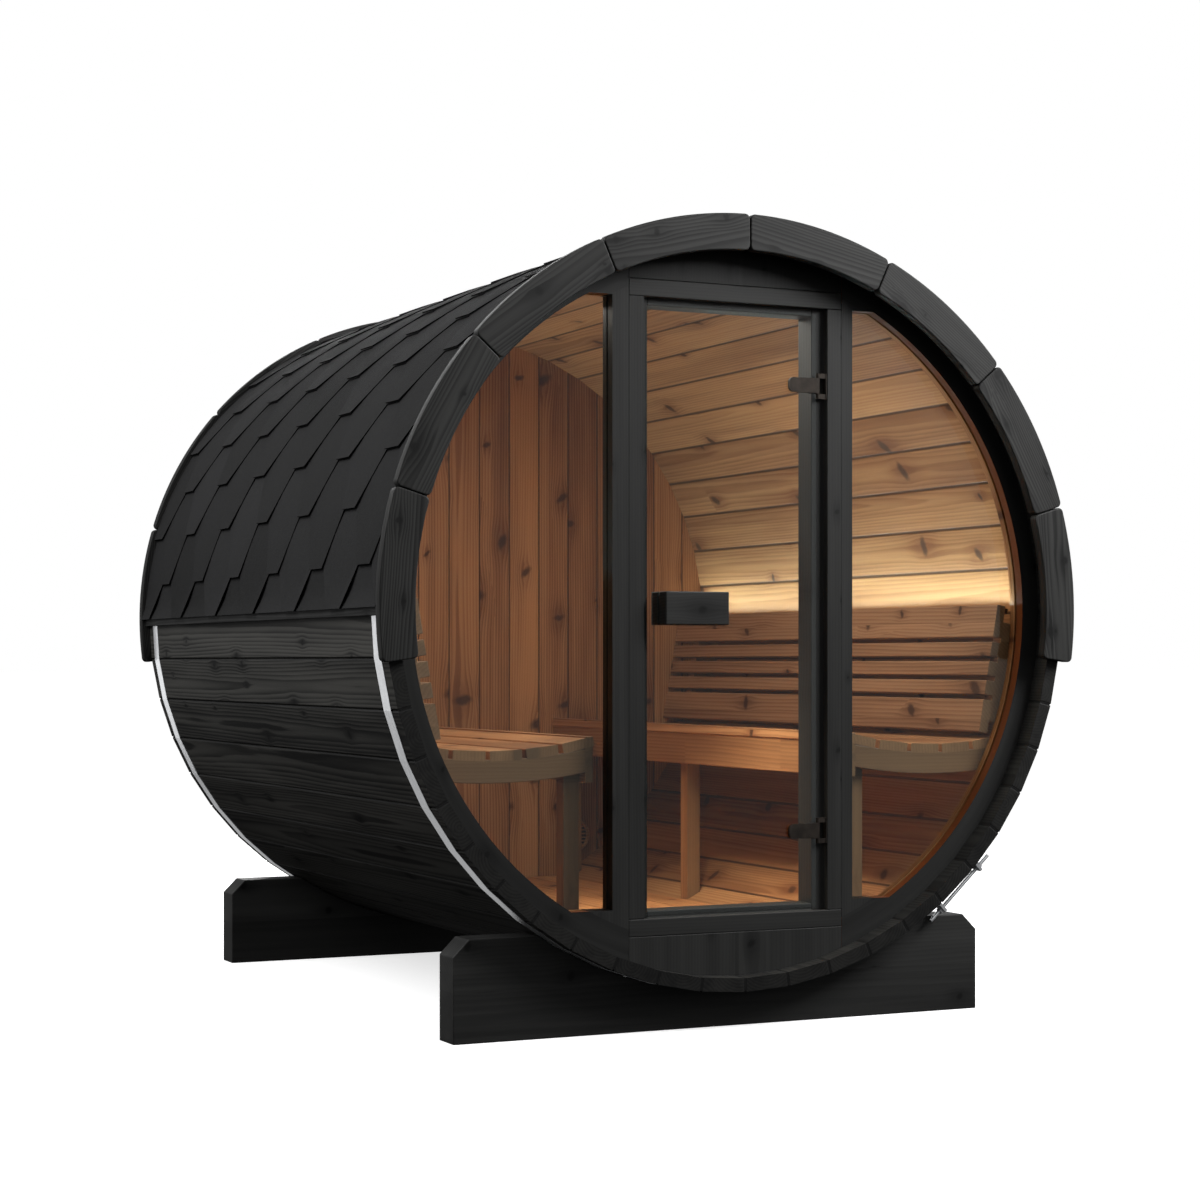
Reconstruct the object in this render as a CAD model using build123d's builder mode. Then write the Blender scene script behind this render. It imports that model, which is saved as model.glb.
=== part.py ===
# Barrel sauna: a round room of staves on two cradles, with a glazed front wall,
# a hinged glass door, a shingled roof and a bench along each side.
# Millimetres, +Z up. The origin is on the ground under the middle of the barrel,
# and the front of the sauna looks towards -Y.

import os
from math import atan2, cos, degrees, radians, sin, sqrt, tan

from build123d import *

# General
overrun = 20.0
seat_clearance = 0.3

# Barrel
stave_count = 48
stave_corner_radius = 1000.0
stave_thickness = 36.0
stave_joint = 0.6
stave_edge_bevel = 3.5
barrel_length = 2158.0
ground_clearance = 100.6
croze_depth = 10.0

# Cradles
cradle_length = 1564.0
cradle_thickness = 94.0
cradle_height = 263.0
cradle_corner_cut = 43.0
cradle_inset = 95.4

# Steel bands and their tensioners
band_width = 50.0
band_thickness = 1.5
band_inset = 44.5
band_gap_angle = -47.0
band_gap_length = 148.0
rod_standoff = 40.0
rod_radius = 5.0
rod_length = 254.0
lug_spacing = 158.0
lug_thickness = 8.0
lug_width = 30.0
lug_margin = 9.0
nut_radius = 10.0
nut_sides = 6
nut_height = 8.0

# Roof
ridge_angle = 90.0
arch_board_count = 8
arch_board_angle = 24.5
arch_overhang = 25.0
arch_underhang = 70.0
arch_thickness = 29.0
arch_joint = 2.0
arch_corner_radius = 14.0
arch_inner_corner_cut = 8.0
shingle_thickness = 10.0
eave_trim_height = 25.0
eave_trim_thickness = 11.0

# Front wall
front_wall_recess = 55.0
front_wall_thickness = 58.0
window_rim_width = 52.0
window_stile_width = 39.5
window_sill_rise = 26.0
header_height = 111.5
lower_panel_height = 113.3
window_glass_recess = 28.0
window_glass_thickness = 8.0
window_groove_depth = 10.0

# Door frame
door_offset = 7.0
door_unit_width = 637.0
door_face_width = 45.0
door_frame_depth = 90.0
door_rebate_depth = 20.0
door_sill_height = 46.0
latch_stop_width = 18.0
hinge_stop_width = 38.0
head_stop_height = 20.0
sill_stop_height = 18.0

# Door
door_glass_thickness = 8.0
door_glass_setback = 2.0
door_latch_clearance = 8.0
door_hinge_clearance = 34.0
door_sill_clearance = 9.0
door_head_clearance = 16.0
handle_width = 186.0
handle_height = 87.0
handle_depth = 39.5
handle_edge_distance = 35.0
handle_edge_bevel = 2.0

# Hinges
hinge_sill_distance = 213.0
hinge_head_distance = 207.0
hinge_pin_offset = 7.5
hinge_pin_radius = 3.0
hinge_pin_clearance = 0.05
hinge_knuckle_radius = 5.5
hinge_height = 68.0
hinge_knuckle_end = 13.0
hinge_knuckle_gap = 0.5
hinge_leaf_thickness = 3.0
hinge_arm_thickness = 5.0
clamp_length = 84.0
clamp_height = 39.0
clamp_thickness = 9.0
clamp_end_radius = 14.0
clamp_pin_distance = 10.0
clamp_plate_length = 26.0
clamp_plate_thickness = 4.0
clamp_edge_gap = 0.3

# Rear wall
rear_wall_recess = 50.0
rear_wall_thickness = 42.0
vent_radius = 61.0
vent_thickness = 12.0
vent_side = 459.0
vent_floor_distance = 138.0

# Floor
floor_rise = 89.3
floor_board_count = 7
floor_board_pitch = 116.0
floor_board_gap = 4.0
floor_board_thickness = 28.0
floor_end_clearance = 4.0
bearer_thickness = 45.0
bearer_length = 640.0
bearer_inset = 180.0

# Benches
bench_end_clearance = 4.0
bench_front_edge = 384.0
bench_wall_gap = 14.4
seat_height = 507.0
seat_dish_radius = 1400.0
seat_dish_shift = 35.0
slat_count = 5
slat_gap = 11.0
slat_thickness = 22.0
rail_height = 60.0
rail_thickness = 38.0
rail_rear_inset = 90.0
fascia_thickness = 22.0
fascia_height = 120.0
fascia_rise = 34.0
post_size = 45.0

# Backrests
back_wall_distance = 148.9
back_seat_distance = 65.0
back_lean_angle = 10.0
back_board_heights = (58.0, 40.0, 40.0, 40.0, 91.0)
back_board_gap = 14.5
back_board_thickness = 28.0
bracket_thickness = 40.0
bracket_top_margin = 45.0
led_width = 14.0
led_thickness = 8.0
led_top_margin = 6.0

# Places worked out from the sizes above
axis_height = ground_clearance + stave_corner_radius
barrel_half = barrel_length / 2
half_pitch_angle = 180 / stave_count
stave_apothem = stave_corner_radius * cos(radians(half_pitch_angle))
room_radius = stave_apothem - stave_thickness
wall_radius = room_radius + croze_depth
band_inner_radius = stave_corner_radius + seat_clearance
band_outer_radius = band_inner_radius + band_thickness
roof_inner_radius = band_outer_radius + seat_clearance
roof_outer_radius = roof_inner_radius + shingle_thickness
arch_inner_radius = stave_corner_radius - arch_underhang
arch_outer_radius = stave_corner_radius + arch_overhang

wall_front = front_wall_recess - barrel_half
wall_back = wall_front + front_wall_thickness
window_radius = room_radius - window_rim_width
window_stile_edge = door_unit_width / 2 + window_stile_width
window_glass_back = wall_front + window_glass_recess + window_glass_thickness

frame_back = wall_front + door_frame_depth
stop_front = wall_front + door_rebate_depth
unit_left = door_offset - door_unit_width / 2
unit_right = door_offset + door_unit_width / 2
opening_left = unit_left + door_face_width
opening_right = unit_right - door_face_width
unit_bottom = axis_height - room_radius + lower_panel_height
unit_top = axis_height + room_radius - header_height
opening_bottom = unit_bottom + door_sill_height
opening_top = unit_top - door_face_width
opening_height = opening_top - opening_bottom
window_bottom = opening_bottom + window_sill_rise
window_height = opening_top - window_bottom
window_middle = (opening_top + window_bottom) / 2 - axis_height
stop_left = opening_left + latch_stop_width
stop_right = opening_right - hinge_stop_width

glass_left = opening_left + door_latch_clearance
glass_right = opening_right - door_hinge_clearance
glass_bottom = opening_bottom + door_sill_clearance
glass_top = opening_top - door_head_clearance
glass_front = wall_front + door_glass_setback
glass_middle = glass_front + door_glass_thickness / 2
glass_back = glass_front + door_glass_thickness
pin_side = glass_right + hinge_pin_offset
hinge_heights = (opening_bottom + hinge_sill_distance, opening_top - hinge_head_distance)

rear_wall_back = barrel_half - rear_wall_recess
rear_wall_front = rear_wall_back - rear_wall_thickness

floor_height = axis_height - room_radius + floor_rise
seat_level = floor_height + seat_height
fascia_top = seat_level + fascia_rise
seat_outer_edge = sqrt(room_radius**2 - (axis_height - seat_level) ** 2) - bench_wall_gap
bench_start = wall_back + bench_end_clearance
bench_end = rear_wall_front - bench_end_clearance
bench_length = bench_end - bench_start
rail_starts = (
    bench_start,
    (bench_start + bench_end - rail_thickness) / 2,
    bench_end - rail_rear_inset - rail_thickness,
)
dish_middle = (bench_front_edge + seat_outer_edge) / 2 + seat_dish_shift
dish_height_centre = seat_level + seat_dish_radius - axis_height
rail_top_radius = seat_dish_radius + slat_thickness
post_side = bench_front_edge + fascia_thickness
post_top = seat_level - slat_thickness
back_bottom_side = room_radius - back_wall_distance

os.makedirs("parts", exist_ok=True)


def wall_plane(y):
    """Upright plane across the barrel at depth y, drawn from the barrel's axis."""
    return Plane(origin=(0, y, axis_height), x_dir=(1, 0, 0), z_dir=(0, -1, 0))


def turned(angle, y=0):
    """Place on the barrel's axis, turned up from the right-hand side by an angle."""
    return Location((0, y, axis_height), (0, -angle, 0))


def arc_angle(length, radius):
    """Angle that a length takes on a circle."""
    return degrees(length / radius)


def save(piece, name):
    """Label a finished piece and write it under its own name."""
    piece.part.label = name
    export_step(piece.part, f"parts/{name}.step")


# Staves: flat boards with bevelled edges and a croze cut for each end wall
outer_half_width = stave_corner_radius * sin(radians(half_pitch_angle)) - stave_joint / 2
inner_half_width = room_radius * tan(radians(half_pitch_angle)) - stave_joint / 2
end_walls = (
    (wall_front, front_wall_thickness),
    (rear_wall_front, rear_wall_thickness),
)

with BuildPart() as stave:
    with BuildSketch(Plane(origin=(0, barrel_half, 0), x_dir=(1, 0, 0), z_dir=(0, -1, 0))):
        with BuildLine():
            Polyline(
                (room_radius, -inner_half_width),
                (stave_apothem, -outer_half_width),
                (stave_apothem, outer_half_width),
                (room_radius, inner_half_width),
                close=True,
            )
        make_face()
    extrude(amount=barrel_length)
    chamfer(stave.edges().filter_by(Axis.Y).group_by(Axis.X)[-1], length=stave_edge_bevel)
    for start, thickness in end_walls:
        with Locations((wall_radius + seat_clearance, start + thickness / 2, 0)):
            Box(
                wall_radius - room_radius + overrun,
                thickness + 2 * seat_clearance,
                stave_corner_radius,
                align=(Align.MAX, Align.CENTER, Align.CENTER),
                mode=Mode.SUBTRACT,
            )

stave_groups = (
    "upper_right_staves",
    "roof_staves",
    "upper_left_staves",
    "lower_left_staves",
    "floor_staves",
    "lower_right_staves",
)
staves_each = stave_count // len(stave_groups)
for group, group_name in enumerate(stave_groups):
    turns = [(2 * (group * staves_each + number) + 1) * half_pitch_angle for number in range(staves_each)]
    with BuildPart() as stave_group:
        with Locations(*[turned(turn) for turn in turns]):
            add(stave.part)
    save(stave_group, group_name)

# Cradles: thick boards on edge with a round saddle for the barrel
cradle_starts = {
    "front_cradle": cradle_inset - barrel_half,
    "rear_cradle": barrel_half - cradle_inset - cradle_thickness,
}
half_cradle = cradle_length / 2
for cradle_name, cradle_start in cradle_starts.items():
    with BuildPart() as cradle:
        with BuildSketch(wall_plane(cradle_start + cradle_thickness)):
            with BuildLine():
                Polyline(
                    (-half_cradle, -axis_height),
                    (half_cradle, -axis_height),
                    (half_cradle, cradle_height - cradle_corner_cut - axis_height),
                    (half_cradle - cradle_corner_cut, cradle_height - axis_height),
                    (cradle_corner_cut - half_cradle, cradle_height - axis_height),
                    (-half_cradle, cradle_height - cradle_corner_cut - axis_height),
                    close=True,
                )
            make_face()
            Circle(stave_corner_radius + seat_clearance, mode=Mode.SUBTRACT)
        extrude(amount=cradle_thickness)
    save(cradle, cradle_name)

# Steel bands: open hoops beside the cradles, lying flat on each stave
band_middles = {
    "front_band": band_inset + band_width / 2 - barrel_half,
    "rear_band": barrel_half - band_inset - band_width / 2,
}
with BuildPart() as nut:
    with BuildSketch():
        RegularPolygon(nut_radius, nut_sides)
    extrude(amount=nut_height / 2, both=True)

for band_name, band_middle in band_middles.items():
    with BuildPart() as band:
        with BuildSketch(wall_plane(band_middle + band_width / 2)):
            RegularPolygon(band_outer_radius, stave_count)
            RegularPolygon(band_inner_radius, stave_count, mode=Mode.SUBTRACT)
            with Locations(Location((0, 0, 0), (0, 0, band_gap_angle))):
                Rectangle(
                    band_outer_radius + overrun,
                    band_gap_length,
                    align=(Align.MIN, Align.CENTER),
                    mode=Mode.SUBTRACT,
                )
        extrude(amount=band_width)
    save(band, band_name)

    # Tensioner: a threaded rod with nuts through two lugs at the ends of the band
    rod_side = band_outer_radius + rod_standoff
    with BuildPart() as tensioner:
        with Locations(turned(band_gap_angle, band_middle)):
            with Locations((rod_side, 0, 0)):
                Cylinder(radius=rod_radius, height=rod_length)
            for end in (-1, 1):
                lug_place = end * (lug_spacing / 2)
                nut_place = end * (lug_spacing + lug_thickness + nut_height) / 2
                with Locations((rod_side + lug_margin, 0, lug_place)):
                    Box(
                        rod_standoff + lug_margin + overrun,
                        lug_width,
                        lug_thickness,
                        align=(Align.MAX, Align.CENTER, Align.CENTER),
                    )
                with Locations((rod_side, 0, nut_place)):
                    add(nut.part)
        with BuildSketch(wall_plane(band_middle + band_width / 2)):
            RegularPolygon(band_outer_radius + seat_clearance, stave_count)
        extrude(amount=band_width, mode=Mode.SUBTRACT)
    save(tensioner, f"{band_name}_tensioner")

# Arch boards: curved fascia boards over the ends of the staves
half_joint_angle = arc_angle(arch_joint / 2, arch_outer_radius)
board_sweep = arch_board_angle - 2 * half_joint_angle


def arch_point(radius, angle):
    """Point on a circle about the barrel's axis, in a wall plane."""
    return (radius * cos(radians(angle)), radius * sin(radians(angle)))


with BuildPart() as arch_board:
    with BuildSketch(Plane(origin=(0, 0, 0), x_dir=(1, 0, 0), z_dir=(0, -1, 0))):
        with BuildLine():
            low, high = -board_sweep / 2, board_sweep / 2
            CenterArc((0, 0), arch_outer_radius, low, board_sweep)
            CenterArc((0, 0), arch_inner_radius, low, board_sweep)
            Line(arch_point(arch_inner_radius, low), arch_point(arch_outer_radius, low))
            Line(arch_point(arch_inner_radius, high), arch_point(arch_outer_radius, high))
        make_face()
    extrude(amount=arch_thickness)
    fillet(arch_board.edges().filter_by(Axis.Y).group_by(Axis.X)[-1], radius=arch_corner_radius)
    chamfer(arch_board.edges().filter_by(Axis.Y).group_by(Axis.X)[0], length=arch_inner_corner_cut)

boards_each = arch_board_count // 2
for arch_side, arch_sign in (("right", -1), ("left", 1)):
    offsets = [arch_sign * (number + 1 / 2) * arch_board_angle for number in range(boards_each)]
    with BuildPart() as front_arch:
        with Locations(*[turned(ridge_angle + offset, -barrel_half) for offset in offsets]):
            add(arch_board.part)
    save(front_arch, f"front_arch_{arch_side}")
    with BuildPart() as rear_arch:
        mirror(front_arch.part, about=Plane.XZ)
    save(rear_arch, f"rear_arch_{arch_side}")

# Roof covering: one shell of shingles on each side of the ridge, on an eave trim
barrel_axis = Axis((0, 0, axis_height), (0, -1, 0))
for roof_side, roof_angle, roof_sign in (("right", 0, 1), ("left", ridge_angle, -1)):
    ray = radians(roof_angle)
    roof_plane = Plane(
        origin=(0, 0, axis_height),
        x_dir=(cos(ray), 0, sin(ray)),
        z_dir=(-sin(ray), 0, cos(ray)),
    )
    with BuildPart() as shingles:
        with BuildSketch(roof_plane):
            with Locations(((roof_inner_radius + roof_outer_radius) / 2, 0)):
                Rectangle(shingle_thickness, barrel_length)
        revolve(axis=barrel_axis, revolution_arc=ridge_angle)
    save(shingles, f"roof_shingles_{roof_side}")

    with BuildPart() as eave_trim:
        trim_side = roof_sign * (roof_inner_radius + eave_trim_thickness / 2)
        with Locations((trim_side, 0, axis_height - eave_trim_height / 2)):
            Box(eave_trim_thickness, barrel_length, eave_trim_height)
    save(eave_trim, f"{roof_side}_eave_trim")


# Front wall: a glazed frame on each side of the door unit, a header and a lower panel
def window_outline(side, growth):
    """Window shape on one side of the door, grown on all edges."""
    edge_align = Align.MIN if side > 0 else Align.MAX
    with BuildSketch() as outline:
        Circle(window_radius + growth)
        with Locations((side * (window_stile_edge - growth), window_middle)):
            Rectangle(
                window_radius,
                window_height + 2 * growth,
                align=(edge_align, Align.CENTER),
                mode=Mode.INTERSECT,
            )
    return outline.sketch


for side_name, side, unit_edge in (("left", -1, unit_left), ("right", 1, unit_right)):
    edge_align = Align.MIN if side > 0 else Align.MAX
    with BuildPart() as window_frame:
        with BuildSketch(wall_plane(wall_back)):
            RegularPolygon(wall_radius, stave_count, major_radius=False)
            with Locations((unit_edge, 0)):
                Rectangle(
                    2 * wall_radius,
                    2 * wall_radius,
                    align=(edge_align, Align.CENTER),
                    mode=Mode.INTERSECT,
                )
            add(window_outline(side, 0), mode=Mode.SUBTRACT)
        extrude(amount=front_wall_thickness)
        with BuildSketch(wall_plane(window_glass_back + seat_clearance)):
            add(window_outline(side, window_groove_depth))
        extrude(amount=window_glass_thickness + 2 * seat_clearance, mode=Mode.SUBTRACT)
    save(window_frame, f"{side_name}_window_frame")

    with BuildPart() as window_glass:
        with BuildSketch(wall_plane(window_glass_back)):
            add(window_outline(side, window_groove_depth - seat_clearance))
        extrude(amount=window_glass_thickness)
    save(window_glass, f"{side_name}_window_glass")

unit_ends = (
    ("front_header", unit_top, Align.MIN),
    ("front_lower_panel", unit_bottom, Align.MAX),
)
for panel_name, panel_edge, panel_align in unit_ends:
    with BuildPart() as panel:
        with BuildSketch(wall_plane(wall_back)):
            RegularPolygon(wall_radius, stave_count, major_radius=False)
            with Locations((door_offset, panel_edge - axis_height)):
                Rectangle(
                    door_unit_width,
                    2 * wall_radius,
                    align=(Align.CENTER, panel_align),
                    mode=Mode.INTERSECT,
                )
        extrude(amount=front_wall_thickness)
    save(panel, panel_name)

# Door frame: rebated jambs between a rebated head and threshold
jambs = (
    ("door_left_jamb", unit_left, opening_left, stop_left),
    ("door_right_jamb", unit_right, opening_right, stop_right),
)
for jamb_name, outer, inner, stop in jambs:
    with BuildPart() as jamb:
        with BuildSketch(Plane.XY.offset(opening_bottom)):
            with BuildLine():
                Polyline(
                    (outer, wall_front),
                    (inner, wall_front),
                    (inner, stop_front),
                    (stop, stop_front),
                    (stop, frame_back),
                    (outer, frame_back),
                    close=True,
                )
            make_face()
        extrude(amount=opening_height)
    save(jamb, jamb_name)

stop_middle = (stop_left + stop_right) / 2
stop_span = stop_right - stop_left
stop_depth = door_frame_depth - door_rebate_depth
bars = (
    ("door_head", opening_top, door_face_width, opening_top - head_stop_height, head_stop_height),
    ("door_threshold", unit_bottom, door_sill_height, opening_bottom, sill_stop_height),
)
for bar_name, bar_bottom, bar_height, lip_bottom, lip_height in bars:
    low_front = (Align.CENTER, Align.MIN, Align.MIN)
    with BuildPart() as bar:
        with Locations((door_offset, wall_front, bar_bottom)):
            Box(door_unit_width, door_frame_depth, bar_height, align=low_front)
        with Locations((stop_middle, stop_front, lip_bottom)):
            Box(stop_span, stop_depth, lip_height, align=low_front)
    save(bar, bar_name)

# Door: one sheet of glass with a block handle on each face
with BuildPart() as door_glass:
    with Locations((glass_left, glass_front, glass_bottom)):
        Box(
            glass_right - glass_left,
            door_glass_thickness,
            glass_top - glass_bottom,
            align=(Align.MIN, Align.MIN, Align.MIN),
        )
save(door_glass, "door_glass")

handle_faces = (
    ("door_handle_outer", glass_front, Align.MAX),
    ("door_handle_inner", glass_back, Align.MIN),
)
for handle_name, handle_face, handle_align in handle_faces:
    with BuildPart() as handle:
        with Locations((glass_left + handle_edge_distance, handle_face, axis_height)):
            Box(
                handle_width,
                handle_depth,
                handle_height,
                align=(Align.MIN, handle_align, Align.CENTER),
            )
        chamfer(handle.edges(), length=handle_edge_bevel)
    save(handle, handle_name)

# Hinges: a leaf with a pin on the jamb, and a clamp that turns on it with the glass
middle_knuckle = hinge_height - 2 * (hinge_knuckle_end + hinge_knuckle_gap)
leaf_side = opening_right - hinge_leaf_thickness
leaf_depth = door_rebate_depth - door_glass_setback
end_offset = (hinge_height - hinge_knuckle_end) / 2
web_side = glass_right + clamp_edge_gap
bar_side = pin_side - clamp_pin_distance

with BuildPart() as hinge_leaves:
    for hinge_at in hinge_heights:
        with Locations((leaf_side, glass_front, hinge_at)):
            Box(
                hinge_leaf_thickness,
                leaf_depth,
                hinge_height,
                align=(Align.MIN, Align.MIN, Align.CENTER),
            )
        with Locations((pin_side, glass_middle, hinge_at)):
            Cylinder(radius=hinge_pin_radius, height=hinge_height)
        for end in (-1, 1):
            with Locations((pin_side, glass_middle, hinge_at + end * end_offset)):
                Cylinder(radius=hinge_knuckle_radius, height=hinge_knuckle_end)
                Box(
                    leaf_side - pin_side,
                    hinge_arm_thickness,
                    hinge_knuckle_end,
                    align=(Align.MIN, Align.CENTER, Align.CENTER),
                )
save(hinge_leaves, "hinge_leaves")

with BuildPart() as hinge_clamps:
    for hinge_at in hinge_heights:
        with BuildSketch(wall_plane(glass_front)) as bar_face:
            with Locations((bar_side, hinge_at - axis_height)):
                Rectangle(clamp_length, clamp_height, align=(Align.MAX, Align.CENTER))
            fillet(bar_face.vertices().group_by(Axis.X)[0], radius=clamp_end_radius)
        extrude(amount=clamp_thickness)
        with Locations((web_side, glass_middle, hinge_at)):
            Box(
                pin_side - web_side,
                door_glass_thickness + 2 * clamp_plate_thickness,
                middle_knuckle,
                align=(Align.MIN, Align.CENTER, Align.CENTER),
            )
        for plate_face, plate_align in ((glass_front, Align.MAX), (glass_back, Align.MIN)):
            with Locations((pin_side, plate_face, hinge_at)):
                Box(
                    clamp_plate_length,
                    clamp_plate_thickness,
                    middle_knuckle,
                    align=(Align.MAX, plate_align, Align.CENTER),
                )
        with Locations((pin_side, glass_middle, hinge_at)):
            Cylinder(radius=hinge_knuckle_radius, height=middle_knuckle)
            Cylinder(
                radius=hinge_pin_radius + hinge_pin_clearance,
                height=hinge_height,
                mode=Mode.SUBTRACT,
            )
save(hinge_clamps, "hinge_clamps")

# Rear wall: set in its croze with one edge for each stave, with a round vent on its inner face
with BuildPart() as rear_wall:
    with BuildSketch(wall_plane(rear_wall_back)):
        RegularPolygon(wall_radius, stave_count, major_radius=False)
    extrude(amount=rear_wall_thickness)
save(rear_wall, "rear_wall")

with BuildPart() as rear_vent:
    with BuildSketch(wall_plane(rear_wall_front)):
        with Locations((vent_side, floor_height + vent_floor_distance - axis_height)):
            Circle(vent_radius)
    extrude(amount=vent_thickness)
save(rear_vent, "rear_vent")

# Floor: boards from wall to wall on bearers cut to the round of the barrel
room_fit_radius = room_radius - seat_clearance
floor_start = wall_back + floor_end_clearance
floor_end = rear_wall_front - floor_end_clearance
floor_underside = floor_height - floor_board_thickness

with BuildPart() as floor_boards:
    with BuildSketch(wall_plane(floor_end)):
        for number in range(floor_board_count):
            board_place = (number - (floor_board_count - 1) / 2) * floor_board_pitch
            with Locations((board_place, floor_height - axis_height)):
                Rectangle(
                    floor_board_pitch - floor_board_gap,
                    floor_board_thickness,
                    align=(Align.CENTER, Align.MAX),
                )
        Circle(room_fit_radius, mode=Mode.INTERSECT)
    extrude(amount=floor_end - floor_start)
save(floor_boards, "floor_boards")

bearer_places = (
    floor_start + bearer_inset,
    (floor_start + floor_end) / 2,
    floor_end - bearer_inset,
)
with BuildPart() as floor_bearers:
    for bearer_place in bearer_places:
        with BuildSketch(wall_plane(bearer_place + bearer_thickness / 2)):
            Circle(room_fit_radius)
            with Locations((0, floor_underside - axis_height)):
                Rectangle(
                    bearer_length,
                    2 * room_radius,
                    align=(Align.CENTER, Align.MAX),
                    mode=Mode.INTERSECT,
                )
        extrude(amount=bearer_thickness)
save(floor_bearers, "floor_bearers")

# Bench seats: slats laid in a shallow dish
slat_start_side = post_side + seat_clearance
slat_room = seat_outer_edge - slat_start_side - (slat_count - 1) * slat_gap
slat_width = slat_room / slat_count
slat_pitch = slat_width + slat_gap
slat_reach = sqrt(rail_top_radius**2 - (slat_width / 2) ** 2) - seat_clearance

with BuildPart() as right_bench_seat:
    with BuildSketch(wall_plane(bench_end)):
        for number in range(slat_count):
            slat_side = slat_start_side + slat_width / 2 + number * slat_pitch - dish_middle
            slat_tilt = degrees(atan2(slat_side, rail_top_radius))
            slat_x = dish_middle + slat_reach * sin(radians(slat_tilt))
            slat_z = dish_height_centre - slat_reach * cos(radians(slat_tilt))
            with Locations(Location((slat_x, slat_z, 0), (0, 0, slat_tilt))):
                Rectangle(slat_width, slat_thickness, align=(Align.CENTER, Align.MIN))
    extrude(amount=bench_length)
save(right_bench_seat, "right_bench_seat")

# Bench frames: curved rails under the slats, posts to the floor and a fascia board
with BuildPart() as right_bench_frame:
    for rail_start in rail_starts:
        with BuildSketch(wall_plane(rail_start + rail_thickness)):
            with Locations((dish_middle, dish_height_centre)):
                Circle(rail_top_radius + rail_height)
                Circle(rail_top_radius, mode=Mode.SUBTRACT)
            with Locations((post_side, -axis_height)):
                Rectangle(
                    room_radius,
                    axis_height,
                    align=(Align.MIN, Align.MIN),
                    mode=Mode.INTERSECT,
                )
            Circle(room_fit_radius, mode=Mode.INTERSECT)
        extrude(amount=rail_thickness)
        with BuildSketch(wall_plane(rail_start + rail_thickness + post_size)):
            with Locations((post_side, post_top - axis_height)):
                Rectangle(post_size, post_top, align=(Align.MIN, Align.MAX))
            Circle(room_fit_radius, mode=Mode.INTERSECT)
        extrude(amount=post_size)
    with Locations((bench_front_edge, bench_start, fascia_top)):
        Box(
            fascia_thickness,
            bench_length,
            fascia_height,
            align=(Align.MIN, Align.MIN, Align.MAX),
        )
save(right_bench_frame, "right_bench_frame")

# Backrests: leaning boards on brackets that follow the round wall
lean = radians(back_lean_angle)
back_plane_z = seat_level + back_seat_distance - axis_height
back_length = sum(back_board_heights) + back_board_gap * (len(back_board_heights) - 1)
bracket_length = back_length - bracket_top_margin

with BuildPart() as right_backrest:
    with BuildSketch(wall_plane(bench_end)):
        reach = 0
        for board_height in back_board_heights:
            board_x = back_bottom_side + reach * sin(lean)
            board_z = back_plane_z + reach * cos(lean)
            with Locations(Location((board_x, board_z, 0), (0, 0, -back_lean_angle))):
                Rectangle(back_board_thickness, board_height, align=(Align.MIN, Align.MIN))
            reach += board_height + back_board_gap
    extrude(amount=bench_length)
    for rail_start in rail_starts:
        with BuildSketch(wall_plane(rail_start + bracket_thickness)):
            bracket_x = back_bottom_side + back_board_thickness * cos(lean)
            bracket_z = back_plane_z - back_board_thickness * sin(lean)
            with Locations(Location((bracket_x, bracket_z, 0), (0, 0, -back_lean_angle))):
                Rectangle(room_radius, bracket_length, align=(Align.MIN, Align.MIN))
            Circle(room_fit_radius, mode=Mode.INTERSECT)
        extrude(amount=bracket_thickness)
save(right_backrest, "right_backrest")

# Light strips: on the back of the top board of each backrest
with BuildPart() as right_light_strip:
    with BuildSketch(wall_plane(bench_end)):
        strip_reach = back_length - led_top_margin
        strip_x = back_bottom_side + strip_reach * sin(lean) + back_board_thickness * cos(lean)
        strip_z = back_plane_z + strip_reach * cos(lean) - back_board_thickness * sin(lean)
        with Locations(Location((strip_x, strip_z, 0), (0, 0, -back_lean_angle))):
            Rectangle(led_thickness, led_width, align=(Align.MIN, Align.MAX))
    extrude(amount=bench_length)
save(right_light_strip, "right_light_strip")

# The left side of the room mirrors the right
right_pieces = (
    (right_bench_seat, "left_bench_seat"),
    (right_bench_frame, "left_bench_frame"),
    (right_backrest, "left_backrest"),
    (right_light_strip, "left_light_strip"),
)
for right_piece, left_name in right_pieces:
    with BuildPart() as left_piece:
        mirror(right_piece.part, about=Plane.YZ)
    save(left_piece, left_name)
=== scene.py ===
import math

import bmesh
import bpy
import numpy as np
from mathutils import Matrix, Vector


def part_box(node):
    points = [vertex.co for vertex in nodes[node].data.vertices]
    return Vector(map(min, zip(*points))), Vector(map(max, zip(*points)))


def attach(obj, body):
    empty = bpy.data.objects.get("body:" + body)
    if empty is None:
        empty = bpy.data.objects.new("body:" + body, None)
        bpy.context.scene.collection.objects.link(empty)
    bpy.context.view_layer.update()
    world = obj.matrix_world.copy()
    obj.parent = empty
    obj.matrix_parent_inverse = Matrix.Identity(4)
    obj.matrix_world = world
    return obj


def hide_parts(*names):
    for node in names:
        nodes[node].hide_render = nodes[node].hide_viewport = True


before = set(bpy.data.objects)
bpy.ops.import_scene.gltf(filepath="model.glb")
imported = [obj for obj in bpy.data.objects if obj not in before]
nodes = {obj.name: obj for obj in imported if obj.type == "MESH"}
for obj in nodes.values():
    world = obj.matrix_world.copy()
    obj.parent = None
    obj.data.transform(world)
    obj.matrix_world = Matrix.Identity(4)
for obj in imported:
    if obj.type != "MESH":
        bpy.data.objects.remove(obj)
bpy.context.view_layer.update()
print("frame:", len(nodes), "nodes")

bpy.context.scene.view_settings.view_transform = "Standard"
draw = np.random.default_rng(11)

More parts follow.
